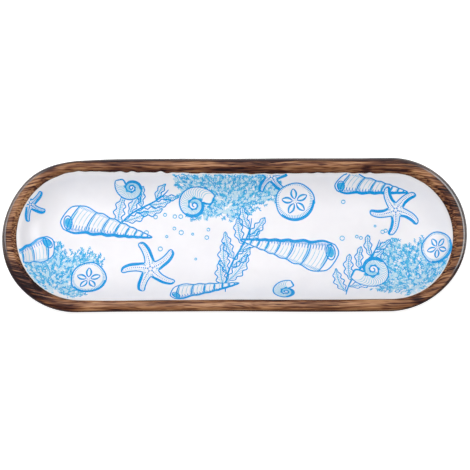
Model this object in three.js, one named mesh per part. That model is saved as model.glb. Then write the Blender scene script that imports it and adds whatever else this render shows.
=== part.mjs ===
// Oblong tea tray: a round-ended dish carved from one wooden plank. Its hollow is lined with white enamel,
// a printed film and a clear gloss coat.
// Millimetres, +Z up. The origin is the middle of the flat base, and +X runs along the tray.
import * as THREE from "three";

// Carved body, outside
const trayLength = 500;
const trayWidth = 166;
const trayHeight = 40;
const baseInset = 24; // plan distance from the rim's outer edge in to the flat base
const flankKnee = 15; // height where the flank's slope off the base would meet the rim's plumb line
const rimWidth = 10; // plan width of the rim's flat top, with both of its rounded edges
const outerRound = 5; // radius of the rim's outer edge
const innerRound = 2; // radius of the rim's inner edge

// Carved hollow: a flat floor and a curved wall, which is gentler at the two ends
const floorThickness = 10.5; // wood left under the hollow
const wallSlope = 58; // degrees from level, along the sides and just under the rim
const sideRun = 44; // plan width of the wall along the two sides
const endRun = 46; // plan length of the wall at the two ends

// Lining: coats laid one on the other, each over its own bond line
const liningDrop = 6; // from the rim's top down to the lining's edge, with bare wood between
const bondLine = 0.05;
const enamelThickness = 0.9;
const filmThickness = 0.15;
const clearThickness = 0.5;

// Facets
const columns = 64; // steps around the tray, a multiple of four
const flankSteps = 7;
const roundSteps = 4;
const bareWallSteps = 2;
const linedWallSteps = 10;

// Places worked out from the sizes above
const halfWidth = trayWidth / 2;
const halfStraight = (trayLength - trayWidth) / 2; // from the middle to the centre of each round end
const rimInside = halfWidth - rimWidth;
const slope = THREE.MathUtils.degToRad(wallSlope);
const innerReach = innerRound * Math.tan(slope / 2); // from the rim's inner corner to where its rounding ends

// The wall's curve along the sides, from the edge of the floor up to the rim's inner rounding
const wallTop = new THREE.Vector2(
  rimInside - innerReach * Math.cos(slope),
  trayHeight - innerReach * Math.sin(slope),
);
const wallFoot = new THREE.Vector2(rimInside - sideRun, floorThickness);
const wallRise = wallTop.y - wallFoot.y;
const wallKnee = new THREE.Vector2(wallTop.x - wallRise / Math.tan(slope), wallFoot.y);
const wallCurve = new THREE.QuadraticBezierCurve(wallFoot, wallKnee, wallTop);
const liningShare = Math.sqrt((trayHeight - liningDrop - wallFoot.y) / wallRise); // of the curve, from its foot

// A profile is a list of points. Each has a radius and a height, and an inset: how far the tray's two round
// ends stand in at that point, compared with the rim.
function profilePoints(curve, steps) {
  return curve.getPoints(steps).map((point) => ({ radius: point.x, height: point.y, inset: 0 }));
}

// Flat base, flank and rim, from the middle of the base to the top of the hollow's wall.
function outsideProfile() {
  const flank = new THREE.QuadraticBezierCurve(
    new THREE.Vector2(halfWidth - baseInset, 0),
    new THREE.Vector2(halfWidth, flankKnee),
    new THREE.Vector2(halfWidth, trayHeight - outerRound),
  );
  const outerEdge = new THREE.EllipseCurve(
    halfWidth - outerRound,
    trayHeight - outerRound,
    outerRound,
    outerRound,
    0,
    Math.PI / 2,
  );
  const innerEdge = new THREE.EllipseCurve(
    rimInside + innerReach,
    trayHeight - innerRound,
    innerRound,
    innerRound,
    Math.PI / 2,
    Math.PI / 2 + slope,
  );
  return [
    { radius: 0, height: 0, inset: 0 },
    ...profilePoints(flank, flankSteps),
    ...profilePoints(outerEdge, roundSteps).slice(1),
    ...profilePoints(innerEdge, roundSteps),
  ];
}

// One point of the hollow's wall, at a share of its curve from the foot. lift moves it off the wood, square
// to the wall. The inset grows towards the foot, so the wall takes its longer run at the ends.
function wallPoint(share, lift) {
  const place = wallCurve.getPoint(share);
  const along = wallCurve.getTangent(share);
  return {
    radius: place.x - lift * along.y,
    height: place.y + lift * along.x,
    inset: ((endRun - sideRun) * (wallTop.x - place.x)) / (wallTop.x - wallFoot.x),
  };
}

function wallPoints(fromShare, toShare, steps, lift) {
  const points = [];
  for (let step = 0; step <= steps; step++) {
    points.push(wallPoint(fromShare + ((toShare - fromShare) * step) / steps, lift));
  }
  return points;
}

// The bare wood of the wall, from the rim down to the lining's edge, without its two ends.
function bareProfile() {
  return wallPoints(1, liningShare, bareWallSteps, 0).slice(1, -1);
}

// The hollow at one lift off the wood, from the middle of the floor up to the lining's edge.
function linedProfile(lift) {
  const wall = wallPoints(0, liningShare, linedWallSteps, lift);
  return [{ ...wall[0], radius: 0 }, ...wall];
}

// Revolves a profile that starts and ends on the axis, then pulls the two halves apart along X into a
// round-ended solid. The flats of the many-sided ends touch the true arc, so length and width are exact.
function oblong(profile) {
  const halfStep = Math.PI / columns;
  const outline = profile.map((point) => new THREE.Vector2(point.radius / Math.cos(halfStep), point.height));
  const geometry = new THREE.LatheGeometry(outline, columns, halfStep).rotateX(Math.PI / 2);
  const position = geometry.getAttribute("position");
  for (let index = 0; index < position.count; index++) {
    const column = Math.floor(index / profile.length);
    const end = Math.sign(Math.sin((2 * column + 1) * halfStep));
    const { inset } = profile[index % profile.length];
    position.setX(index, position.getX(index) + end * (halfStraight - inset));
  }
  geometry.computeVertexNormals();
  return geometry;
}

function carvedBody() {
  return oblong([...outsideProfile(), ...bareProfile(), ...linedProfile(0).reverse()]);
}

// One coat of the lining, between two lifts off the wood.
function coat(lowerLift, thickness) {
  return oblong([...linedProfile(lowerLift), ...linedProfile(lowerLift + thickness).reverse()]);
}

const tray = new THREE.Group();

function addPiece(name, geometry, finish) {
  const mesh = new THREE.Mesh(geometry, new THREE.MeshStandardMaterial({ metalness: 0, ...finish }));
  mesh.name = name;
  tray.add(mesh);
}

addPiece("tray_body", carvedBody(), { color: 0x8a6148, roughness: 0.4 });

const enamelLift = bondLine;
addPiece("enamel_base", coat(enamelLift, enamelThickness), { color: 0xf8f7fb, roughness: 0.3 });

const filmLift = enamelLift + enamelThickness + bondLine;
addPiece("printed_film", coat(filmLift, filmThickness), { color: 0xc9e1f4, roughness: 0.5 });

const clearLift = filmLift + filmThickness + bondLine;
addPiece("clear_coat", coat(clearLift, clearThickness), {
  color: 0xffffff,
  roughness: 0.08,
  transparent: true,
  opacity: 0.2,
});

export default tray;
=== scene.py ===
# Oblong tea tray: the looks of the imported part, in metres and in the part's own frame.
import math

import bmesh
import bpy
import numpy as np
from mathutils import Matrix, Vector


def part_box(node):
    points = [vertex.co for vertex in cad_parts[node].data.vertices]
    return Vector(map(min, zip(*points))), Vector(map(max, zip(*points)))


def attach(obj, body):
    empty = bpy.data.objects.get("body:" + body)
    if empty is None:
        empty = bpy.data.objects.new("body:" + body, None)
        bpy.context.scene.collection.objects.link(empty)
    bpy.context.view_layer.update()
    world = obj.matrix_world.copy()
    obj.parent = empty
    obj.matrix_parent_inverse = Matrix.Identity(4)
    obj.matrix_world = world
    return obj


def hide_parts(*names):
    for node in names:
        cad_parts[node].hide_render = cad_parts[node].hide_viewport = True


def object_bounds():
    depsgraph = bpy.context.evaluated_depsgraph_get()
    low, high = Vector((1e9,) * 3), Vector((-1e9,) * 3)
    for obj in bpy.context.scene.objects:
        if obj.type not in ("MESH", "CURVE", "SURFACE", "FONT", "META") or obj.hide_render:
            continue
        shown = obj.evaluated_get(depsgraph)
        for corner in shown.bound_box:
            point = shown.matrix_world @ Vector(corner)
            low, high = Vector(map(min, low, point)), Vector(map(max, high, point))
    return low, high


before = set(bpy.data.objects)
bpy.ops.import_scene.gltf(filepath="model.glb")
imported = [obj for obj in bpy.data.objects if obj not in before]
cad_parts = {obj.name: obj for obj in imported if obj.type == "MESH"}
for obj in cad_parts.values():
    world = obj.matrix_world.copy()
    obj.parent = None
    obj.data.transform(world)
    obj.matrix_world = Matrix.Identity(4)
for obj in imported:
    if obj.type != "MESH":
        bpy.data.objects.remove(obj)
CAD_LOW, CAD_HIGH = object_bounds()
MM = 0.001

# Sizes of the carved body and its lining, as in the part's source
HALF_WIDTH = CAD_HIGH.y
HALF_STRAIGHT = CAD_HIGH.x - HALF_WIDTH
HEIGHT = CAD_HIGH.z
BASE_INSET = 24 * MM
FLANK_KNEE = 15 * MM
RIM_WIDTH = 10 * MM
OUTER_ROUND = 5 * MM
INNER_ROUND = 2 * MM
FLOOR_THICKNESS = 10.5 * MM
WALL_SLOPE = math.radians(58)
SIDE_RUN = 44 * MM
END_RUN = 46 * MM
LINING_DROP = 6 * MM
BOND = 0.05 * MM
CLEAR_THICKNESS = 0.5 * MM
LINING_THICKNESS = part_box("clear_coat")[0].z - FLOOR_THICKNESS + CLEAR_THICKNESS

# Finer forms that only the looks need
BASE_ROUND = 1.5 * MM
WOBBLE = 0.3 * MM
WOBBLE_LENGTHS = (0.16, 0.13)  # usual wavelengths of the shifts in X and in Y
OUTSIDE_SKEW = 0.03  # the outside leans along X by this share of Y, so two of its corners are fuller
OUTSIDE_SWELL = 0.6 * MM  # the two long sides stand out by this much
DARK_EDGE_FADE = 8 * MM  # height in which the rim's dark outer edge, wear and painted shade, fades out down the flank

# The lining's hand-cut edge, with a lip in millimetres past the edge and off the wood
EDGE_TILT = 2.4 * MM  # the edge lies this much lower on the far side and higher on the near side
EDGE_WAVE = 0.25 * MM
EDGE_FRAY = 1 * MM
EDGE_CHIP = 1.2 * MM
LIP_TAPER = 6 * MM  # width in which the lining thins towards its edge
LIP_THICKNESS = 0.45 * MM
LIP_PROFILE = ((0.22, 0.42), (0.34, 0.3), (0.34, 0.14), (0.2, 0.04))

# The printed ink: each stroke is a sliver that stands a little out of the lining
INK_LIFT = 0.02 * MM
INK_STRENGTH_LIFT = 0.1 * MM  # deeper ink stands higher, so it covers paler ink
INK_LAYERS = 97  # strokes drawn one after another take turns at this many heights
INK_LAYER = 0.0004 * MM
INK_DEPTH = 0.06 * MM  # of a stroke's keel under the surface
PRINT_MARGIN = 0.7 * MM  # white left between the picture and the lining's edge

# Steps of the meshes
COLUMN_STEP = 1.2 * MM
BARE_REACH = 6 * MM  # the wall has fine steps down to this far below the lining's usual edge
BASE_STEPS = 4
FLANK_STEPS = 26
OUTER_STEPS = 10
FLAT_STEPS = 6
INNER_STEPS = 6
BARE_STEPS = 24
HOLLOW_STEPS = 7
LINING_STEPS = 32
FLOOR_STEPS = 23
UNDER_STEPS = 8

# The hollow's wall, a curve from the edge of the floor up to the rim's inner rounding
RIM_INSIDE = HALF_WIDTH - RIM_WIDTH
INNER_REACH = INNER_ROUND * math.tan(WALL_SLOPE / 2)
TOP_RADIUS = RIM_INSIDE - INNER_REACH * math.cos(WALL_SLOPE)
TOP_HEIGHT = HEIGHT - INNER_REACH * math.sin(WALL_SLOPE)
FOOT_RADIUS = RIM_INSIDE - SIDE_RUN
WALL_RISE = TOP_HEIGHT - FLOOR_THICKNESS
KNEE_RADIUS = TOP_RADIUS - WALL_RISE / math.tan(WALL_SLOPE)
LINING_SHARE = math.sqrt((HEIGHT - LINING_DROP - FLOOR_THICKNESS) / WALL_RISE)


def wall_direction(share):
    """How fast the wall's radius and height grow with the share of its curve."""
    outward = 2 * (1 - share) * (KNEE_RADIUS - FOOT_RADIUS) + 2 * share * (TOP_RADIUS - KNEE_RADIUS)
    upward = 2 * share * WALL_RISE
    return outward, upward


def wall_place(share, lift):
    """Radius, height and end inset of the wall at a share of its curve, lifted square to the wood."""
    radius = (1 - share) ** 2 * FOOT_RADIUS + 2 * share * (1 - share) * KNEE_RADIUS + share**2 * TOP_RADIUS
    height = FLOOR_THICKNESS + WALL_RISE * share**2
    outward, upward = wall_direction(share)
    length = np.hypot(outward, upward)
    inset = (END_RUN - SIDE_RUN) * (TOP_RADIUS - radius) / (TOP_RADIUS - FOOT_RADIUS)
    return radius - lift * upward / length, height + lift * outward / length, inset


EDGE_RATE = float(np.hypot(*wall_direction(LINING_SHARE)))


def slow_waves(place, seed, length, count=5):
    """A sum of waves along the plan, about -1 to 1, with wavelengths near the given length."""
    draw = np.random.default_rng(seed)
    total = np.zeros(place.shape[:-1])
    for _ in range(count):
        heading = draw.uniform(0, 2 * math.pi)
        wavelength = length * draw.uniform(0.6, 1.6)
        across = place[..., 0] * math.cos(heading) + place[..., 1] * math.sin(heading)
        total += np.sin(2 * math.pi * across / wavelength + draw.uniform(0, 2 * math.pi))
    return total / math.sqrt(2 * count)


def hand_made(points):
    """Slow unevenness of a hand-worked piece. It moves all the pieces alike."""
    moved = points.copy()
    moved[..., 0] += WOBBLE * slow_waves(points, 11, WOBBLE_LENGTHS[0])
    moved[..., 1] += WOBBLE * slow_waves(points, 12, WOBBLE_LENGTHS[1])
    return moved


def columns_around():
    """Where the columns of a round-ended loft stand: place along the straight, from -1 to 1, and heading."""
    side_count = round(2 * HALF_STRAIGHT / COLUMN_STEP)
    end_count = round(math.pi * HALF_WIDTH / COLUMN_STEP)
    side = np.linspace(-1, 1, side_count, endpoint=False)
    turn = np.linspace(-math.pi / 2, math.pi / 2, end_count, endpoint=False)
    along = np.concatenate([side, np.ones(end_count), -side, -np.ones(end_count)])
    heading = np.concatenate(
        [np.full(side_count, -math.pi / 2), turn, np.full(side_count, math.pi / 2), turn + math.pi]
    )
    return along, np.cos(heading), np.sin(heading)


ALONG, OUT_X, OUT_Y = columns_around()


def oblong_points(radius, height, inset, along=ALONG, out_x=OUT_X, out_y=OUT_Y):
    """Points of a round-ended loft. Sizes may differ from row to row and from column to column."""
    x = along * (HALF_STRAIGHT - inset) + out_x * radius
    y = out_y * radius
    z = height + 0 * x
    return np.stack(np.broadcast_arrays(x, y, z), axis=-1)


def perimeter(along=ALONG, out_x=OUT_X, out_y=OUT_Y):
    """The plan point of the tray's outline that belongs to each column."""
    return np.stack([along * HALF_STRAIGHT + out_x * HALF_WIDTH, out_y * HALF_WIDTH], axis=-1)


# Places of the outline where the outside stands further out: reach, and millimetres outward
OUTSIDE_SHIFTS = (
    ((-0.178, 0.083), 0.028, -2.2),
    ((-0.224, 0.062), 0.024, 1.2),
    ((-0.243, -0.04), 0.04, 0.8),
    ((0.243, -0.035), 0.03, 0.6),
    ((-0.02, -0.083), 0.07, -0.6),
    ((0.1, -0.083), 0.06, 0.6),
)

# Places of the outline where the lining's edge lies higher on its wall: reach, and millimetres higher
EDGE_SHIFTS = (
    ((-0.16, 0.083), 0.08, 3.3),
    ((0.04, 0.083), 0.04, -1.3),
    ((0.155, 0.083), 0.03, -1.5),
    ((-0.125, -0.083), 0.04, 3.2),
    ((0.1, -0.083), 0.12, 1.4),
    ((-0.25, -0.02), 0.06, -1.6),
    ((0.25, 0.0), 0.06, -1.3),
)

# Places along X where the lining's edge is ragged, and their reach
RAGGED_STRETCHES = ((-0.11, 0.016), (-0.08, 0.008), (0.019, 0.006), (0.146, 0.006))


def local_shifts(outline, shifts):
    """Metres of shift along an outline, from a table of places with their reach and their millimetres."""
    total = np.zeros(outline.shape[:-1])
    for place, reach, shift in shifts:
        total += shift * MM * np.exp(-(((outline - place) / reach) ** 2).sum(axis=-1))
    return total


def lining_edge(outline):
    """Share of the wall where the hand-cut edge of the lining lies. It is rougher on the far side."""
    across = outline[..., 1] / HALF_WIDTH
    far = np.clip(across, 0.1, 1) ** 6
    slow = slow_waves(outline, 21, length=0.11)
    quick = slow_waves(outline, 22, length=0.012)
    chips = np.clip(slow_waves(outline, 23, length=0.03, count=7) - 0.75, 0, 0.25) / 0.25
    ragged = 0.5
    for middle, reach in RAGGED_STRETCHES:
        ragged = ragged + np.exp(-(((outline[..., 0] - middle) / reach) ** 2))
    raised = EDGE_WAVE * slow - EDGE_TILT * across + far * ragged * (EDGE_FRAY * quick - EDGE_CHIP * chips)
    return LINING_SHARE + (raised + local_shifts(outline, EDGE_SHIFTS)) / EDGE_RATE


def lining_lift(share, edge):
    """Height of the lining's surface over the wood. It thins towards its edge."""
    near = np.clip(1 - (edge - share) * EDGE_RATE / LIP_TAPER, 0, 1)
    return LINING_THICKNESS - (LINING_THICKNESS - LIP_THICKNESS) * near**2


# Meshes

def loft(name, points, values=None):
    """A smooth mesh from rows of points, each row a loop. Points that fall together become one."""
    rows, columns = points.shape[:2]
    corner = np.arange(rows * columns).reshape(rows, columns)
    after = np.roll(corner, -1, axis=1)
    quads = np.stack([corner[:-1], after[:-1], after[1:], corner[1:]], axis=-1).reshape(-1, 4)
    mesh = bpy.data.meshes.new(name)
    mesh.from_pydata(points.reshape(-1, 3).tolist(), [], quads.tolist())
    for label, value in (values or {}).items():
        layer = mesh.attributes.new(label, "FLOAT", "POINT")
        layer.data.foreach_set("value", np.broadcast_to(value, (rows, columns)).ravel().astype(np.float32))
    shaped = bmesh.new()
    shaped.from_mesh(mesh)
    bmesh.ops.remove_doubles(shaped, verts=shaped.verts, dist=0.001 * MM)
    bmesh.ops.recalc_face_normals(shaped, faces=shaped.faces)
    shaped.to_mesh(mesh)
    shaped.free()
    mesh.polygons.foreach_set("use_smooth", [True] * len(mesh.polygons))
    piece = bpy.data.objects.new(name, mesh)
    bpy.context.scene.collection.objects.link(piece)
    return piece


def arc(centre_radius, centre_height, size, start, end, steps):
    """Points of a profile on an arc between two angles in degrees."""
    angle = np.radians(np.linspace(start, end, steps + 1))
    return list(zip(centre_radius + size * np.cos(angle), centre_height + size * np.sin(angle)))


def outside_rows():
    """Radius and height of the body's rows, from the middle of its base to the top of the hollow's wall."""
    base = HALF_WIDTH - BASE_INSET
    lift_off = math.degrees(math.atan2(FLANK_KNEE, BASE_INSET))
    reach = BASE_ROUND * math.tan(math.radians(lift_off) / 2)
    rows = [(share * (base - 3 * reach), 0) for share in (0, 0.3, 0.6, 0.85, 1)]
    rows += arc(base - reach, BASE_ROUND, BASE_ROUND, -90, -90 + lift_off, BASE_STEPS)
    flank = np.linspace(0, 1, FLANK_STEPS + 1)[1:]
    flank_radius = HALF_WIDTH - BASE_INSET * (1 - flank) ** 2
    flank_height = 2 * flank * (1 - flank) * FLANK_KNEE + flank**2 * (HEIGHT - OUTER_ROUND)
    rows += list(zip(flank_radius, flank_height))
    rows += arc(HALF_WIDTH - OUTER_ROUND, HEIGHT - OUTER_ROUND, OUTER_ROUND, 0, 90, OUTER_STEPS)[1:]
    flat_end = RIM_INSIDE + INNER_REACH
    flat = np.linspace(HALF_WIDTH - OUTER_ROUND, flat_end, FLAT_STEPS + 1)[1:-1]
    rows += [(radius, HEIGHT) for radius in flat]
    wall_angle = 90 + math.degrees(WALL_SLOPE)
    rows += arc(flat_end, HEIGHT - INNER_ROUND, INNER_ROUND, 90, wall_angle, INNER_STEPS)
    return np.array(rows)


def outside_points(rows):
    """The body's outside. It leans and swells a little, most at its widest part."""
    points = oblong_points(rows[:, :1], rows[:, 1:], 0)
    inner_start = len(rows) - INNER_STEPS - 1
    moved = np.interp(np.arange(len(rows)), (0, np.argmax(rows[:, 0]), inner_start), (0, 1, 0))[:, None]
    push = OUTSIDE_SWELL * OUT_Y**2 + local_shifts(perimeter(), OUTSIDE_SHIFTS)
    points[..., 0] += moved * (OUTSIDE_SKEW * points[..., 1] + push * OUT_X)
    points[..., 1] += moved * push * OUT_Y
    return points


def dark_edge_and_lacquer(rows, row_count):
    """How dark the body's outer edge is, from wear and from painted shade, and how much lacquer is left, for
    each row and column.

    Both start at a share of the outer rounding's plan width, which is 0 at its top and 1 at its widest part.
    """
    below_round = np.clip((HEIGHT - OUTER_ROUND - rows[:, 1]) / DARK_EDGE_FADE, 0, 1)
    outside_share = np.full((row_count, 1), -1.0)
    outside_share[: len(rows), 0] = (rows[:, 0] - HALF_WIDTH) / OUTER_ROUND + 1 - below_round
    far = np.clip(OUT_Y, 0, 1) ** 2
    near = np.clip(-OUT_Y, 0, 1) ** 2
    # The dark edge is painted shade as well as wear: it reaches further in at the ends and on the far side.
    wear_and_shade_from = 0.5 - 0.6 * OUT_X**2 - 0.5 * far + 0.15 * near
    wear_and_shade = np.clip((outside_share - wear_and_shade_from) / 0.3, 0, 1)
    dull_from = 0.76 - 0.5 * np.clip(-2.5 * OUT_Y - 0.4, 0, 1)
    lacquer = 1 - np.clip((outside_share - dull_from) / 0.16, 0, 1) * (1 - far)
    lacquer[len(rows) - INNER_STEPS :] = 0
    return wear_and_shade, lacquer


def make_body():
    """The carved body: its outside, the hollow's wall and the hollow's floor."""
    rows = outside_rows()
    edge = lining_edge(perimeter())
    outside = outside_points(rows)
    bare = np.linspace(1, LINING_SHARE - BARE_REACH / EDGE_RATE, BARE_STEPS + 1)[1:, None]
    hollow = np.linspace(bare[-1, 0], 0, HOLLOW_STEPS + 1)[1:, None]
    wall_shares = np.concatenate([bare, hollow])
    wall = oblong_points(*wall_place(wall_shares, 0))
    radius, height, inset = wall_place(np.zeros((2, 1)), 0)
    floor = oblong_points(radius * np.array([[0.5], [0]]), height, inset)
    points = hand_made(np.concatenate([outside, wall, floor]))
    # A dark band in the wood along the lining's edge, partly staining and partly painted shade of the inner
    # wall. It is wider on the far side.
    stain_and_shade = np.zeros(points.shape[:2])
    stain_and_shade_reach = (1.0 + 0.9 * np.clip(OUT_Y, 0, 1)) * MM
    from_edge = (wall_shares - edge) * EDGE_RATE
    stain_and_shade[len(rows) : len(rows) + len(wall)] = np.exp(-((from_edge / stain_and_shade_reach) ** 2))
    wear_and_shade, lacquer = dark_edge_and_lacquer(rows, len(points))
    return loft("wooden_body", points, {"stain_and_shade": stain_and_shade, "wear_and_shade": wear_and_shade, "lacquer": lacquer})


def make_lining():
    """The white lining: its floor and wall, a thin rounded lip, and its underside on the wood."""
    edge = lining_edge(perimeter())
    top_shares = np.linspace(0, 1, LINING_STEPS + 1)[:, None] * edge
    lift = lining_lift(top_shares, edge)
    top = oblong_points(*wall_place(top_shares, lift))
    radius, height, inset = wall_place(np.zeros((1, 1)), LINING_THICKNESS)
    floor = oblong_points(radius * np.linspace(0, 1, FLOOR_STEPS + 1)[:-1, None], height, inset)
    lip_ahead, lip_lift = np.array(LIP_PROFILE).T[:, :, None] * MM
    lip = oblong_points(*wall_place(edge + lip_ahead / EDGE_RATE, lip_lift))
    under_shares = np.linspace(0.97, 0, UNDER_STEPS + 1)[:, None] * edge
    under = oblong_points(*wall_place(under_shares, BOND))
    radius, height, inset = wall_place(np.zeros((1, 1)), BOND)
    middle = oblong_points(radius * np.array([[0.5], [0]]), height, inset)
    points = hand_made(np.concatenate([floor, top, lip, under, middle]))
    thin = np.ones(points.shape[:2])
    thin[: len(floor)] = 0
    thinning = (LINING_THICKNESS - lift) / (LINING_THICKNESS - LIP_THICKNESS)
    thin[len(floor) : len(floor) + len(top)] = thinning
    return loft("enamel_lining", points, {"thin": thin})


# The printed picture: pen strokes in millimetres on the lining laid flat, with X along the tray

PEN = 1.4  # width of a plain line
DEEP_INK = 1.0
MIDDLE_INK = 0.76
PALE_INK = 0.44
WASH_INK = 0.2


def smooth(points, closed=False, step=1.0):
    """A smooth line through points, with its places about one step apart."""
    points = np.asarray(points, float)
    if closed:
        padded = np.concatenate([points[-1:], points, points[:2]])
    else:
        padded = np.concatenate([2 * points[:1] - points[1:2], points, 2 * points[-1:] - points[-2:-1]])
    pieces = []
    for before, start, end, after in zip(padded, padded[1:], padded[2:], padded[3:]):
        count = max(2, math.ceil(np.linalg.norm(end - start) / step))
        share = np.linspace(0, 1, count, endpoint=False)[:, None]
        bend = (2 * before - 5 * start + 4 * end - after) * share**2
        turn = (3 * start - before - 3 * end + after) * share**3
        pieces.append(start + 0.5 * ((end - before) * share + bend + turn))
    return np.concatenate([*pieces, padded[-2:-1]])


def polar(radius, angle):
    """Points at a radius and an angle from the middle."""
    return np.stack(np.broadcast_arrays(radius * np.cos(angle), radius * np.sin(angle)), axis=-1)


class Drawing:
    """Pen strokes, and the outlines that hide what lies behind them."""

    def __init__(self, *outlines):
        self.outlines = outlines
        self.strokes = []

    def line(self, points, width, ink, ends=0.45):
        """A stroke, some pens wide, that is full in the middle and finer at its two ends."""
        points = np.asarray(points, float)
        swell = np.sin(math.pi * np.linspace(0, 1, len(points))) ** 0.5
        self.strokes.append((points, PEN * width * (ends + (1 - ends) * swell), ink))

    def dot(self, centre, size, ink):
        """A short wide stroke that looks like a dot."""
        across = np.array([[-0.4, 0], [-0.2, 0], [0.2, 0], [0.4, 0]])
        self.strokes.append((centre + size * across, PEN * size * np.array([0.4, 0.8, 0.8, 0.4]), ink))

    def placed(self, x, y, turn):
        """The same drawing, turned by degrees and moved."""
        angle = math.radians(turn)
        spin = np.array([[math.cos(angle), math.sin(angle)], [-math.sin(angle), math.cos(angle)]])
        moved = Drawing(*(outline @ spin + (x, y) for outline in self.outlines))
        moved.strokes = [(points @ spin + (x, y), widths, ink) for points, widths, ink in self.strokes]
        return moved


def turret_shell(length, width, whorls):
    """A tall pointed shell with its tip along +X."""
    shrink = 0.82
    places = length * (1 - shrink ** np.arange(whorls + 1)) / (1 - shrink**whorls)
    lean = 0.26
    bow = 0.2

    def half(x):
        return width / 2 * np.clip(1 - x / length, 0, 1) ** 0.9 + 0.4

    def around(x, low, high):
        """A line across the shell at a place along it, between two shares of its half width."""
        share = np.linspace(high, low, max(3, math.ceil((high - low) * half(x))))
        return np.stack([x + half(x) * (lean * share - bow * (1 - share**2)), half(x) * share], axis=1)

    upper = []
    lower = []
    for start, end in zip(places, places[1:]):
        for x, swell in ((start, 0.95), (0.55 * start + 0.45 * end, 1.08)):
            upper.append((x + lean * half(x), swell * half(x)))
            lower.append((x - lean * half(x), -swell * half(x)))
    base = [(-0.3 * width, -0.42 * width), (-0.42 * width, -0.16 * width), (-0.2 * width, 0.34 * width)]
    outline = smooth([*upper, (length, 0), *reversed(lower), *base], closed=True)
    shell = Drawing(outline)
    shell.line(outline, 1.0, DEEP_INK, 1)
    shell.line(smooth([*lower, (length, 0)]), 2.5, DEEP_INK)
    for start, end in zip(places, places[1:]):
        shell.line(around(start, -1, 1), 1.1, DEEP_INK, 0.8)
        rings = max(3, round((end - start) / 1.5))
        for ring in range(1, rings):
            x = start + (end - start) * ring / rings
            shell.line(around(x, -0.96, -0.42 - 0.3 * (ring % 2)), 0.75, DEEP_INK, 0.3)
            if ring % 3 == 1:
                shell.line(around(x, -0.4, 0.9), 0.5, PALE_INK)
            shell.line(around(x, 0.78, 0.97), 0.5, MIDDLE_INK)
        shell.line(around(start + 0.12 * (end - start), -0.9, 0.6), 0.8, MIDDLE_INK, 0.2)
    mouth = np.array([-0.16 * width, -0.2 * width])
    angle = np.linspace(0, 2 * math.pi, 26)
    rim_x = 0.15 * np.cos(angle) - 0.05 * np.sin(angle)
    rim = width * np.stack([rim_x, 0.24 * np.sin(angle)], axis=1)
    shell.line(mouth + rim, 1.0, DEEP_INK, 1)
    for share in (0.15, 0.38, 0.6):
        shell.line(mouth + share * rim, 1.3, MIDDLE_INK, 1)
    return shell


def snail_shell(radius):
    """A round coiled shell with its mouth at +X."""
    closing = 0.165
    full = 2 * math.pi

    def reach(angle):
        return radius * np.exp(-closing * angle)

    def coil(start, end, share=1.0):
        angle = np.linspace(start, end, max(6, math.ceil((end - start) * reach(start))))
        return polar(share * reach(angle), angle)

    lip_places = ((0.355, 0), (0.5, -0.3), (0.76, -0.34), (1, 0))
    lip = smooth([polar(share * radius, turn) for share, turn in lip_places])
    shell = Drawing(np.concatenate([coil(0, full), lip]))
    shell.line(coil(0, 2.7 * full), 1.2, DEEP_INK, 0.7)
    shell.line(coil(0.55 * full, 0.95 * full, 0.98), 2.7, DEEP_INK)
    shell.line(lip, 1.2, DEEP_INK, 0.8)
    for share in (0.9, 0.8, 0.7):
        middle = lip.mean(axis=0)
        shell.line(middle + share * (lip - middle), 0.6, MIDDLE_INK)
    for angle in np.arange(0.16, 1.3 * full, 0.17):
        share = np.linspace(0.97, reach(angle + full) / reach(angle) + 0.05, 9)
        bend = 0.2 * np.sin(math.pi * np.linspace(0, 1, 9))
        shell.line(polar(share * reach(angle), angle + bend), 0.55, PALE_INK)
    for angle in np.arange(0.1, 1.7 * full, 0.085):
        inner = reach(angle + full)
        depth = 1.22 + 0.16 * math.sin(7 * angle)
        hatch = polar(inner * np.linspace(1.02, depth, 4), angle + np.linspace(0, 0.05, 4))
        shell.line(hatch, 0.7, MIDDLE_INK, 0.3)
    for angle in np.arange(0.56 * full, 0.98 * full, 0.055):
        shell.line(polar(reach(angle) * np.linspace(0.98, 0.8, 4), angle), 0.65, MIDDLE_INK, 0.3)
    return shell


def starfish(radius, bend):
    """Five slim arms, bent a little the same way."""
    arm_places = (0.3, 0.46, 0.72, 0.94, 1.0)
    arm_spread = np.radians((36, 17, 10, 6, 0))

    def spot(share, middle, side):
        """A place on an arm: a share of its length, and of its half width to one side."""
        angle = middle + side * np.interp(share, arm_places, arm_spread) + bend * np.asarray(share) ** 2
        return polar(share * radius, angle)

    middles = 2 * math.pi * (np.arange(5) + 0.25) / 5
    edge = []
    for middle in middles:
        edge += [spot(share, middle, -1) for share in arm_places]
        edge += [spot(share, middle, 1) for share in arm_places[-2:0:-1]]
    outline = smooth(edge, closed=True)
    star = Drawing(outline)
    star.line(outline, 1.0, DEEP_INK, 1)
    for middle in middles:
        star.line(smooth([spot(share, middle, -0.94) for share in arm_places]), 2.4, DEEP_INK)
        for share in np.arange(0.1, 0.96, 0.07):
            star.dot(spot(share, middle, 0.0), 1.7 - share, DEEP_INK)
        for share in np.arange(0.2, 0.96, 0.045):
            side = np.linspace(-0.92, -0.45, 5)
            star.line([spot(share - 0.02 * step, middle, step) for step in side], 0.65, MIDDLE_INK, 0.3)
            star.dot(spot(share, middle, 0.42), 0.7, MIDDLE_INK)
            star.line([spot(share, middle, step) for step in (0.94, 0.84, 0.72)], 0.5, MIDDLE_INK)
    for angle in np.linspace(0, 2 * math.pi, 10, endpoint=False):
        star.dot(polar(0.07 * radius, angle), 0.9, DEEP_INK)
    return star


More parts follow.
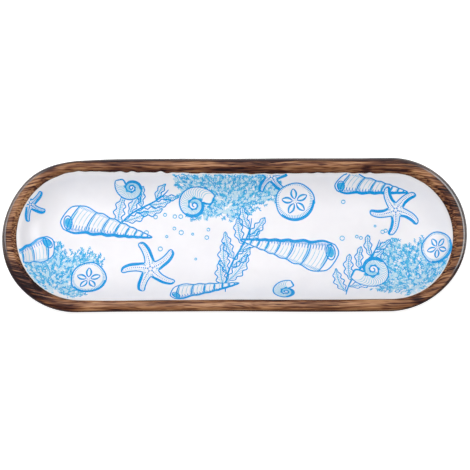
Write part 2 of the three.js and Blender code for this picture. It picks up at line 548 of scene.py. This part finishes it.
def sand_dollar(radius):
    """A flat round shell with a five-petalled mark."""
    angle = np.linspace(0, 2 * math.pi, round(6 * radius))
    outline = polar(radius * (1 + 0.018 * np.cos(5 * angle)), angle)
    shell = Drawing(outline)
    shell.line(outline, 1.1, DEEP_INK, 1)
    shadow = np.linspace(math.radians(215), math.radians(355), round(2.4 * radius))
    shell.line(polar(0.97 * radius, shadow), 2.5, DEEP_INK)
    share = np.linspace(0, 1, 14)
    for middle in 2 * math.pi * (np.arange(5) + 0.25) / 5:
        along = radius * (0.13 + 0.56 * share)
        across = 0.15 * radius * np.sin(math.pi * share) ** 0.8
        turn = np.array([[math.cos(middle), math.sin(middle)], [-math.sin(middle), math.cos(middle)]])
        for side in (-1, 1):
            shell.line(np.stack([along, side * across], 1) @ turn, 1.0, DEEP_INK, 0.7)
            shell.line(np.stack([along, 0.62 * side * across], 1) @ turn, 0.5, MIDDLE_INK)
        for step in range(2, 12):
            for side in (-1, 1):
                ends = [(along[step], 0.9 * side * across[step]), (along[step], 0.6 * side * across[step])]
                shell.line(np.array(ends) @ turn, 0.5, MIDDLE_INK, 1)
    for spoke in np.linspace(0, 2 * math.pi, 60, endpoint=False):
        lit = 0.5 + 0.5 * math.cos(spoke - math.radians(105))
        shell.line(polar(radius * np.linspace(0.95, 0.72 + 0.17 * lit, 5), spoke), 0.6, MIDDLE_INK, 0.3)
    for spoke in np.linspace(0, 2 * math.pi, 5, endpoint=False):
        shell.dot(polar(0.07 * radius, spoke), 0.9, DEEP_INK)
    return shell


def kelp(length, blades, seed):
    """A wavy stem along +X with long frilled blades to both sides."""
    draw = np.random.default_rng(seed)
    share = np.linspace(0, 1, round(length))
    stem = np.stack([length * share, 0.05 * length * np.sin(5.5 * share)], axis=1)
    plant = Drawing()
    plant.line(stem, 1.4, DEEP_INK, 0.4)
    outlines = []
    for blade in range(blades):
        root = stem[round((0.06 + 0.9 * blade / blades) * (len(stem) - 1))]
        size = length * (0.46 - 0.2 * blade / blades) * draw.uniform(0.85, 1.1)
        side = 1 - 2 * (blade % 2)
        heading = side * math.radians(draw.uniform(32, 58))
        step = np.linspace(0, 1, max(8, round(size)))
        curl = heading - side * 0.5 * step
        spine = root + np.cumsum(polar(size / len(step), curl), axis=0)
        frill = 1 + 0.28 * np.sin(2 * math.pi * (size / 9) * step + draw.uniform(0, 6))
        spread = (0.14 * size * np.sin(math.pi * step) ** 0.75 * frill)[:, None]
        across = polar(1, curl + math.pi / 2)
        plant.line(spine + spread * across, 0.95, DEEP_INK)
        plant.line(spine - spread * across, 0.95, DEEP_INK)
        plant.line(spine, 0.7, MIDDLE_INK)
        for vein in range(3, len(step) - 2, 2):
            for reach in (-1, 1):
                far = spine[min(vein + 2, len(step) - 1)] + reach * 0.72 * spread[vein] * across[vein]
                ink = MIDDLE_INK if reach < 0 else PALE_INK
                plant.line([spine[vein], 0.5 * (spine[vein] + far), far], 0.5, ink)
        outlines.append(np.concatenate([spine + spread * across, (spine - spread * across)[::-1]]))
    plant.outlines = tuple(outlines)
    return plant


def weed_bed(width, height, seed):
    """A dense bed of small branching weed over a pale wash, thinning out at its edge."""
    draw = np.random.default_rng(seed)
    bed = Drawing()

    def roots(spacing, limit):
        """Scattered places about one spacing apart, within a limit of the bed's rippled oval."""
        for x in np.arange(-width / 2, width / 2, spacing):
            for y in np.arange(-height / 2, height / 2, spacing):
                root = np.array([x, y]) + draw.uniform(-0.5, 0.5, 2) * spacing
                edge = math.hypot(root[0] / (width / 2), root[1] / (height / 2))
                ripple = 0.14 * math.sin(5 * math.atan2(root[1], root[0]) + seed)
                if edge + ripple < draw.uniform(limit - 0.14, limit):
                    yield root

    for root in roots(4.2, 0.95):
        stroke = root + polar(np.linspace(-3, 3, 5), draw.uniform(0, math.pi))
        bed.line(stroke, 3.2, WASH_INK, 0.6)
    for root in roots(3.1, 1.0):
        heading = math.atan2(root[1] + 0.35 * height, root[0]) + draw.normal(0, 0.55)
        ink = draw.choice([MIDDLE_INK, MIDDLE_INK, 0.85, 0.55])
        size = draw.uniform(4.5, 7.0)
        step = np.linspace(0, 1, 6)
        curl = heading + draw.normal(0, 0.8) * step
        twig = root + np.cumsum(polar(size / 6, curl), axis=0)
        bed.line(twig, 0.7, ink, 0.5)
        for place in (1, 2, 3, 4):
            side = 1 - 2 * (place % 2)
            tip = twig[place] + polar(draw.uniform(1.5, 2.6), curl[place] + side * draw.uniform(0.6, 1.2))
            bend = twig[place] + polar(1.0, curl[place] + 0.3 * side)
            bed.line([twig[place], bend, tip], 0.75, ink, 0.6)
    return bed


def bubbles(count, width, height, seed):
    """Small rings with a glint, scattered over a rectangle."""
    draw = np.random.default_rng(seed)
    angle = np.linspace(0, 2 * math.pi, 16)
    rising = Drawing()
    for _ in range(count):
        middle = draw.uniform(-0.5, 0.5, 2) * (width, height)
        size = draw.uniform(0.9, 2.6)
        rising.line(middle + polar(size, angle), 0.7, MIDDLE_INK, 1)
        rising.line(middle + polar(0.55 * size, angle[2:6]), 0.45, PALE_INK)
    return rising


# The picture from front to back: each drawing with its place and its turn in degrees
PICTURE = (
    (turret_shell(88, 31, 8), -176, 22, -14),
    (starfish(31, 0.25), -92, -34, 8),
    (snail_shell(25), -44, 36, 25),
    (turret_shell(94, 34, 8), 98, -22, 168),
    (sand_dollar(21), 66, 40, 10),
    (starfish(28, -0.3), 176, 30, 40),
    (snail_shell(26), 150, -36, 200),
    (turret_shell(70, 25, 7), 120, 62, -10),
    (sand_dollar(19), -158, -46, 0),
    (turret_shell(72, 26, 7), -206, -12, 205),
    (snail_shell(19), -112, 56, 150),
    (sand_dollar(18), 222, -14, 30),
    (turret_shell(66, 23, 7), -60, -66, 12),
    (starfish(22, 0.3), 40, 70, 60),
    (starfish(20, 0.2), -226, 38, 20),
    (snail_shell(18), 54, -66, 70),
    (kelp(92, 9, 3), -10, -66, 74),
    (kelp(80, 8, 8), 118, -72, 62),
    (kelp(74, 8, 5), -130, 8, 40),
    (weed_bed(120, 66, 4), -10, 52, 0),
    (weed_bed(104, 70, 9), -196, -42, 0),
    (weed_bed(96, 78, 12), 196, -40, 0),
    (bubbles(16, 90, 60, 2), -60, 0, 0),
    (bubbles(14, 90, 60, 6), 130, 10, 0),
)


def within(points, outline):
    """Which points lie inside a closed outline."""
    x = points[:, :1]
    y = points[:, 1:]
    start = outline
    end = np.roll(outline, -1, axis=0)
    rise = end[:, 1] - start[:, 1]
    crossed = (start[:, 1] > y) != (end[:, 1] > y)
    place = start[:, 0] + (y - start[:, 1]) * (end[:, 0] - start[:, 0]) / np.where(rise == 0, 1, rise)
    return np.count_nonzero(crossed & (x < place), axis=1) % 2 == 1


def shown_strokes(on_print):
    """The stretches of the picture's strokes that show: inside the print's edge, with nothing in front."""
    front = []
    shown = []
    for drawing, *place in PICTURE:
        placed = drawing.placed(*place)
        every = np.concatenate([points for points, _, _ in placed.strokes])
        seen = on_print(every)
        for outline in front:
            seen &= ~within(every, outline)
        front += placed.outlines
        starts = np.cumsum([0, *(len(points) for points, _, _ in placed.strokes)])
        for (points, widths, ink), first in zip(placed.strokes, starts):
            here = seen[first : first + len(points)]
            cuts = np.flatnonzero(np.diff(here.astype(int))) + 1
            for stretch in np.split(np.arange(len(points)), cuts):
                if here[stretch[0]] and len(stretch) > 1:
                    shown.append((points[stretch], widths[stretch], ink))
    return shown


# The lining laid flat: how far up its wall each share of the curve lies, at the sides and at the ends
FLAT_STRAIGHT = HALF_STRAIGHT - (END_RUN - SIDE_RUN)
WALL_SHARES = np.linspace(0, 1, 200)


def wall_climb(end):
    """Lengths up the wall from its foot to each of WALL_SHARES. end is 0 at the sides and 1 at the ends."""
    radius, height, inset = wall_place(WALL_SHARES, LINING_THICKNESS)
    steps = np.hypot(np.diff(radius - end * inset), np.diff(height))
    return np.concatenate([[0], np.cumsum(steps)])


SIDE_CLIMB = wall_climb(0)
END_CLIMB = wall_climb(1)


def on_lining(flat, lift):
    """Takes points of the flat picture onto the lining, and says how far inside its edge they lie."""
    spine = np.clip(flat[:, 0], -FLAT_STRAIGHT, FLAT_STRAIGHT)
    offset = np.stack([flat[:, 0] - spine, flat[:, 1]], axis=1)
    distance = np.maximum(np.linalg.norm(offset, axis=1), 1e-9)
    out_x, out_y = (offset / distance[:, None]).T
    climb = np.clip(distance - FOOT_RADIUS, 0, None)
    side_share = np.interp(climb, SIDE_CLIMB, WALL_SHARES)
    end_share = np.interp(climb, END_CLIMB, WALL_SHARES)
    share = side_share + out_x**2 * (end_share - side_share)
    along = spine / FLAT_STRAIGHT
    edge = lining_edge(perimeter(along, out_x, out_y))
    radius, height, inset = wall_place(share, lining_lift(share, edge) + lift)
    radius = np.where(climb > 0, radius, distance)
    points = oblong_points(radius, height, inset, along, out_x, out_y)
    return hand_made(points), (edge - share) * EDGE_RATE


def make_print():
    """Every stroke as a thin closed sliver of ink, seated in the lining's surface."""
    strokes = shown_strokes(lambda points: on_lining(points * MM, 0)[1] > PRINT_MARGIN)
    points = np.concatenate([stroke[0] for stroke in strokes])
    half_width = np.concatenate([stroke[1] for stroke in strokes])[:, None] / 2
    heading = np.concatenate([np.gradient(stroke[0], axis=0) for stroke in strokes])
    heading /= np.maximum(np.linalg.norm(heading, axis=1, keepdims=True), 1e-9)
    sideways = half_width * np.stack([-heading[:, 1], heading[:, 0]], axis=1)
    counts = [len(stroke[0]) for stroke in strokes]
    strength = np.repeat([stroke[2] for stroke in strokes], counts)
    turn = np.repeat(np.arange(len(strokes)) % INK_LAYERS, counts)
    lift = INK_LIFT + INK_STRENGTH_LIFT * strength + INK_LAYER * turn
    left = on_lining((points + sideways) * MM, lift)[0]
    right = on_lining((points - sideways) * MM, lift)[0]
    keel = on_lining(points * MM, -INK_DEPTH)[0]
    faces = []
    for first, count in zip(np.cumsum([0, *counts]), counts):
        stations = range(3 * first, 3 * (first + count), 3)
        for near, far in zip(stations, stations[1:]):
            faces.append((near + 1, far + 1, far, near))
            faces.append((near, far, far + 2, near + 2))
            faces.append((far + 1, near + 1, near + 2, far + 2))
        faces.append((stations[0], stations[0] + 2, stations[0] + 1))
        faces.append((stations[-1] + 1, stations[-1] + 2, stations[-1]))
    mesh = bpy.data.meshes.new("printed_ink")
    mesh.from_pydata(np.stack([left, right, keel], axis=1).reshape(-1, 3).tolist(), [], faces)
    layer = mesh.attributes.new("ink", "FLOAT", "POINT")
    layer.data.foreach_set("value", np.repeat(strength, 3).astype(np.float32))
    piece = bpy.data.objects.new("printed_ink", mesh)
    bpy.context.scene.collection.objects.link(piece)
    return piece


# Materials

class Shader:
    """One procedural material, with short calls for its nodes."""

    def __init__(self, name):
        self.material = bpy.data.materials.new(name)
        self.material.use_nodes = True
        self.tree = self.material.node_tree
        self.surface = self.tree.nodes["Principled BSDF"]

    def feed(self, socket, value):
        if isinstance(value, bpy.types.NodeSocket):
            self.tree.links.new(value, socket)
        else:
            socket.default_value = value

    def node(self, kind, inputs, **settings):
        made = self.tree.nodes.new("ShaderNode" + kind)
        for name, value in settings.items():
            setattr(made, name, value)
        for name, value in inputs.items():
            self.feed(made.inputs[name], value)
        return made

    def place(self, scale=(1, 1, 1)):
        """The object's own coordinates, scaled."""
        here = self.node("TexCoord", {}).outputs["Object"]
        return self.node("Mapping", {"Vector": here, "Scale": scale}).outputs[0]

    def noise(self, place, scale, detail, roughness=0.55):
        inputs = {"Vector": place, "Scale": scale, "Detail": detail, "Roughness": roughness}
        return self.node("TexNoise", inputs).outputs[0]

    def math(self, operation, first, second=0.5):
        return self.node("Math", {0: first, 1: second}, operation=operation).outputs[0]

    def spread(self, value, low, high, to_low=0, to_high=1):
        """Maps a stretch of a value's range smoothly to another range."""
        inputs = {"Value": value, "From Min": low, "From Max": high, "To Min": to_low, "To Max": to_high}
        return self.node("MapRange", inputs, interpolation_type="SMOOTHSTEP").outputs[0]

    def ramp(self, value, stops):
        made = self.node("ValToRGB", {"Fac": value})
        while len(made.color_ramp.elements) < len(stops):
            made.color_ramp.elements.new(1)
        for element, (position, colour) in zip(made.color_ramp.elements, stops):
            element.position = position
            element.color = (*colour, 1)
        return made.outputs[0]

    def mix(self, share, first, second):
        made = self.node("Mix", {0: share}, data_type="RGBA")
        for socket, value in ((made.inputs[6], first), (made.inputs[7], second)):
            self.feed(socket, (*value, 1) if isinstance(value, tuple) else value)
        return made.outputs[2]

    def patch(self, place, centre, reach):
        """1 at a place in the plan, falling to 0 at its reach along X and Y."""
        offset = self.node("VectorMath", {0: place, 1: (*centre, 0)}, operation="SUBTRACT").outputs[0]
        shares = (1 / reach[0], 1 / reach[1], 0)
        scaled = self.node("VectorMath", {0: offset, 1: shares}, operation="MULTIPLY").outputs[0]
        length = self.node("VectorMath", {0: scaled}, operation="LENGTH").outputs["Value"]
        return self.spread(length, 1, 0.2)

    def attribute(self, name):
        return self.node("Attribute", {}, attribute_name=name).outputs["Fac"]

    def bump(self, height, distance, strength):
        normal = self.node("Bump", {"Height": height, "Distance": distance, "Strength": strength}).outputs[0]
        self.feed(self.surface.inputs["Normal"], normal)

    def finish(self, piece, **values):
        """Sets the surface's values, named with underscores for spaces, and puts the material on a piece."""
        for name, value in values.items():
            self.feed(self.surface.inputs[name.replace("_", " ")], value)
        piece.data.materials.clear()
        piece.data.materials.append(self.material)


# Darker and lighter places of the plank: where in the plan, their reach along X and Y, and how much darker
WOOD_PATCHES = (
    ((-0.225, -0.055), (0.05, 0.035), 0.4),
    ((-0.18, -0.077), (0.03, 0.015), 0.1),
    ((-0.155, -0.077), (0.02, 0.02), -0.1),
    ((-0.04, -0.077), (0.04, 0.02), -0.15),
    ((-0.23, 0.045), (0.03, 0.03), -0.15),
    ((-0.203, 0.069), (0.016, 0.015), 0.2),
    ((-0.115, 0.077), (0.055, 0.02), 0.15),
    ((-0.035, 0.078), (0.025, 0.015), -0.2),
    ((-0.02, 0.069), (0.16, 0.005), 0.2),
    ((0.02, 0.08), (0.05, 0.015), 0.15),
    ((0.143, 0.071), (0.008, 0.005), 0.25),
    ((0.17, 0.077), (0.05, 0.02), 0.2),
    ((0.235, 0.035), (0.03, 0.04), 0.2),
    ((0.2, -0.07), (0.03, 0.02), 0.1),
    ((0.24, -0.03), (0.02, 0.02), 0.15),
    ((0.194, -0.071), (0.01, 0.005), 0.3),
    ((0.14, -0.077), (0.04, 0.02), -0.15),
    ((0.09, -0.077), (0.03, 0.02), 0.15),
    ((0.02, -0.0715), (0.16, 0.004), 0.2),
)

# The grain runs straight along the middle of the plank and curves inwards towards its two ends
STRAIGHT_GRAIN = 0.165  # from the middle
GRAIN_CURVE = 2.2
GRAIN_SWAY = 0.01


def paint_wood(piece):
    """Dark-stained hardwood under a glossy lacquer, with fine lines and pores along the grain."""
    wood = Shader("stained_wood")
    plain = wood.place()
    along, across, _ = wood.node("SeparateXYZ", {"Vector": plain}).outputs
    end = wood.math("MAXIMUM", wood.math("SUBTRACT", wood.math("ABSOLUTE", along), STRAIGHT_GRAIN), 0)
    side = wood.spread(across, -0.06, 0.06, -GRAIN_CURVE, GRAIN_CURVE)
    curve = wood.math("MULTIPLY", wood.math("POWER", end, 2), side)
    bend = wood.math("SUBTRACT", wood.noise(wood.place((6, 18, 5)), 1, 2))
    sway = wood.math("ADD", wood.math("MULTIPLY", bend, GRAIN_SWAY), curve)
    swayed = wood.node("CombineXYZ", {"Y": sway}).outputs[0]
    bent = wood.node("VectorMath", {0: plain, 1: swayed}, operation="ADD").outputs[0]

    def stretched(along, across):
        """The bent place, scaled for a noise that is long along the grain and fine across it."""
        return wood.node("Mapping", {"Vector": bent, "Scale": (along, across, 0.45 * across)}).outputs[0]

    broad = wood.noise(stretched(5, 40), 1, 2)
    streaks = wood.noise(stretched(8, 260), 1, 2, 0.6)
    lines = wood.noise(stretched(26, 600), 1, 2, 0.65)
    pores = wood.spread(wood.noise(stretched(60, 760), 1, 1), 0.56, 0.7, 0, 0.26)
    crisp = wood.spread(end, 0.005, 0.065, 1.4, 2.1)
    tone = wood.math("SUBTRACT", 0.5, pores)
    for part, weight in ((broad, 0.2), (streaks, 0.35), (lines, crisp)):
        tone = wood.math("ADD", wood.math("MULTIPLY", wood.math("SUBTRACT", part), weight), tone)
    for centre, reach, darker in WOOD_PATCHES:
        shade = wood.math("MULTIPLY", wood.patch(plain, centre, reach), darker)
        tone = wood.math("SUBTRACT", tone, shade)
    colour = wood.ramp(
        tone,
        [
            (0.08, (0.012, 0.003, 0.004)),
            (0.26, (0.064, 0.018, 0.012)),
            (0.42, (0.185, 0.069, 0.029)),
            (0.55, (0.325, 0.14, 0.06)),
            (0.78, (0.55, 0.28, 0.13)),
        ],
    )
    # Dark staining and painted shade along the lining's edge.
    stain_and_shade = wood.math("MULTIPLY", wood.attribute("stain_and_shade"), wood.spread(streaks, 0.35, 0.6, 1.0, 0.55))
    colour = wood.mix(stain_and_shade, colour, (0.02, 0.01, 0.01))
    # The outer edge is darkened, partly wear and partly painted shade.
    wear_and_shade = wood.math("MULTIPLY", wood.attribute("wear_and_shade"), 0.86)
    colour = wood.mix(wear_and_shade, colour, (0.02, 0.01, 0.014))
    wood.bump(lines, 0.0002, 0.2)
    wood.finish(
        piece,
        Base_Color=colour,
        Roughness=wood.spread(streaks, 0.3, 0.7, 0.6, 0.5),
        Specular_IOR_Level=0.12,
        Coat_Weight=wood.attribute("lacquer"),
        Coat_Roughness=0.2,
        Coat_IOR=1.6,
    )


# The clear gloss over the lining and its print
CLEAR_GLOSS = {"Coat_Weight": 0.3, "Coat_Roughness": 0.1}


def paint_enamel(piece):
    """White lining, a little cool and faintly uneven. Its ends are greyer with painted shade, more at the
    left, and it is greyer where it thins out.
    """
    enamel = Shader("white_enamel")
    mottle = enamel.noise(enamel.place(), 45, 3)
    colour = enamel.mix(enamel.spread(mottle, 0.3, 0.7), (0.9, 0.885, 0.92), (0.93, 0.915, 0.945))
    along = enamel.node("SeparateXYZ", {"Vector": enamel.place()}).outputs["X"]
    # Painted shade: the white turns greyer towards the two ends, less at the right end.
    left_end_shade = enamel.spread(along, -0.165, -0.22)
    right_end_shade = enamel.spread(along, 0.165, 0.22, 0, 0.2)
    colour = enamel.mix(enamel.math("ADD", left_end_shade, right_end_shade), colour, (0.84, 0.82, 0.845))
    colour = enamel.mix(enamel.attribute("thin"), colour, (0.82, 0.8, 0.81))
    ripple = enamel.noise(enamel.place(), 38, 2)
    enamel.bump(ripple, 0.0006, 0.35)
    enamel.finish(piece, Base_Color=colour, Roughness=0.35, Specular_IOR_Level=0.1, **CLEAR_GLOSS)


def paint_ink(piece):
    """Blue printing ink. A stroke's strength sets how deep its blue is."""
    ink = Shader("blue_ink")
    grain = ink.spread(ink.noise(ink.place(), 420, 2), 0.3, 0.7, -0.08, 0.08)
    strength = ink.math("ADD", ink.attribute("ink"), grain)
    colour = ink.ramp(
        strength,
        [
            (0, (0.8, 0.86, 0.92)),
            (0.34, (0.37, 0.67, 0.85)),
            (0.66, (0.085, 0.51, 0.8)),
            (1, (0.002, 0.31, 0.75)),
        ],
    )
    ink.finish(piece, Base_Color=colour, Roughness=0.4, Specular_IOR_Level=0.15, **CLEAR_GLOSS)


# The tray's pieces

body = make_body()
paint_wood(body)
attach(body, "root")
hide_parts("tray_body")

lining = make_lining()
paint_enamel(lining)
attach(lining, "root")
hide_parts("enamel_base", "clear_coat")

printed_ink = make_print()
paint_ink(printed_ink)
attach(printed_ink, "root")
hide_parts("printed_film")


# Floor, light and camera

FLOOR_FLAT = 3.0  # radius of the floor's level part
FLOOR_SWEEP = 2.0  # further radius in which it sweeps up
FLOOR_RISE = 1.8


def make_floor():
    """A round floor that sweeps up at its edge, so that low views have a white background too."""
    turn = np.linspace(0, 2 * math.pi, 96, endpoint=False)
    rise = np.linspace(0, 1, 12)
    radius = np.concatenate([[0], FLOOR_FLAT + FLOOR_SWEEP * rise])[:, None]
    height = np.concatenate([[0], FLOOR_RISE * rise**2])[:, None]
    sweep = np.stack([radius * np.cos(turn), radius * np.sin(turn), height + 0 * turn], axis=-1)
    floor = loft("floor", sweep)
    white = Shader("floor_white")
    path = white.node("LightPath", {})
    seen = white.math("MAXIMUM", path.outputs["Is Camera Ray"], path.outputs["Is Glossy Ray"])
    seen = white.math("MAXIMUM", seen, path.outputs["Is Transmission Ray"])
    grey = white.spread(white.noise(white.place(), 3, 2), 0.2, 0.8, 0.5, 0.52)
    white.finish(floor, Base_Color=grey, Roughness=0.9, Emission_Strength=white.math("MULTIPLY", seen, 0.93))
    white.feed(white.surface.inputs["Emission Color"], (1, 1, 1, 1))


def add_panel(name, place, aim, width, height, power, shine):
    """A flat lamp. It either lights the surfaces without a shine, or only shows as a shine on them."""
    light = bpy.data.lights.new(name, "AREA")
    light.shape = "RECTANGLE"
    light.size = width
    light.size_y = height
    light.energy = power
    lamp = bpy.data.objects.new(name, light)
    lamp.location = place
    lamp.visible_diffuse = not shine
    lamp.visible_glossy = shine
    lamp.rotation_euler = (Vector(aim) - Vector(place)).to_track_quat("-Z", "Y").to_euler()
    bpy.context.scene.collection.objects.link(lamp)


def make_light():
    """A weak even light, a softbox above, and two cards whose shine shows on the rim's edges."""
    world = bpy.data.worlds.new("studio")
    bpy.context.scene.world = world
    world.use_nodes = True
    background = world.node_tree.nodes["Background"]
    background.inputs["Color"].default_value = (1, 1, 1, 1)
    background.inputs["Strength"].default_value = 0.12
    add_panel("softbox", (-0.11, 0.12, 1.2), (-0.11, 0.12, 0), 0.7, 0.5, 13.6, shine=False)
    add_panel("right_card", (0.98, 0.34, 0.9), (0, 0, 0.05), 1.3, 0.65, 19.5, shine=True)
    add_panel("left_card", (-0.92, 0.48, 0.9), (0, 0, 0.05), 0.92, 0.65, 10, shine=True)


# The photograph's view: its height over the table, its distance and its small turn
VIEW_ELEVATION = math.radians(80.7)
VIEW_DISTANCE = 1.612
VIEW_ROLL = math.radians(0.2)
VIEW_LENS = 114.6
SENSOR_WIDTH = 36
PHOTO_SIZE = 470
TRAY_MIDDLE_PIXEL = (234.7, 234.3)


def make_camera():
    """The camera, aimed at the middle of the tray a little below its rim."""
    data = bpy.data.cameras.new("camera")
    data.sensor_width = SENSOR_WIDTH
    data.lens = VIEW_LENS
    data.shift_x = (PHOTO_SIZE / 2 - TRAY_MIDDLE_PIXEL[0]) / PHOTO_SIZE
    data.shift_y = (TRAY_MIDDLE_PIXEL[1] - PHOTO_SIZE / 2) / PHOTO_SIZE
    camera = bpy.data.objects.new("camera", data)
    target = Vector((0, 0, HEIGHT - OUTER_ROUND))
    back = Vector((0, -math.cos(VIEW_ELEVATION), math.sin(VIEW_ELEVATION)))
    camera.location = target + VIEW_DISTANCE * back
    facing = (-back).to_track_quat("-Z", "Y").to_matrix()
    camera.rotation_euler = (facing @ Matrix.Rotation(-VIEW_ROLL, 3, "Z")).to_euler()
    bpy.context.scene.collection.objects.link(camera)
    bpy.context.scene.camera = camera


make_floor()
make_light()
make_camera()
bpy.context.scene.view_settings.view_transform = "Standard"
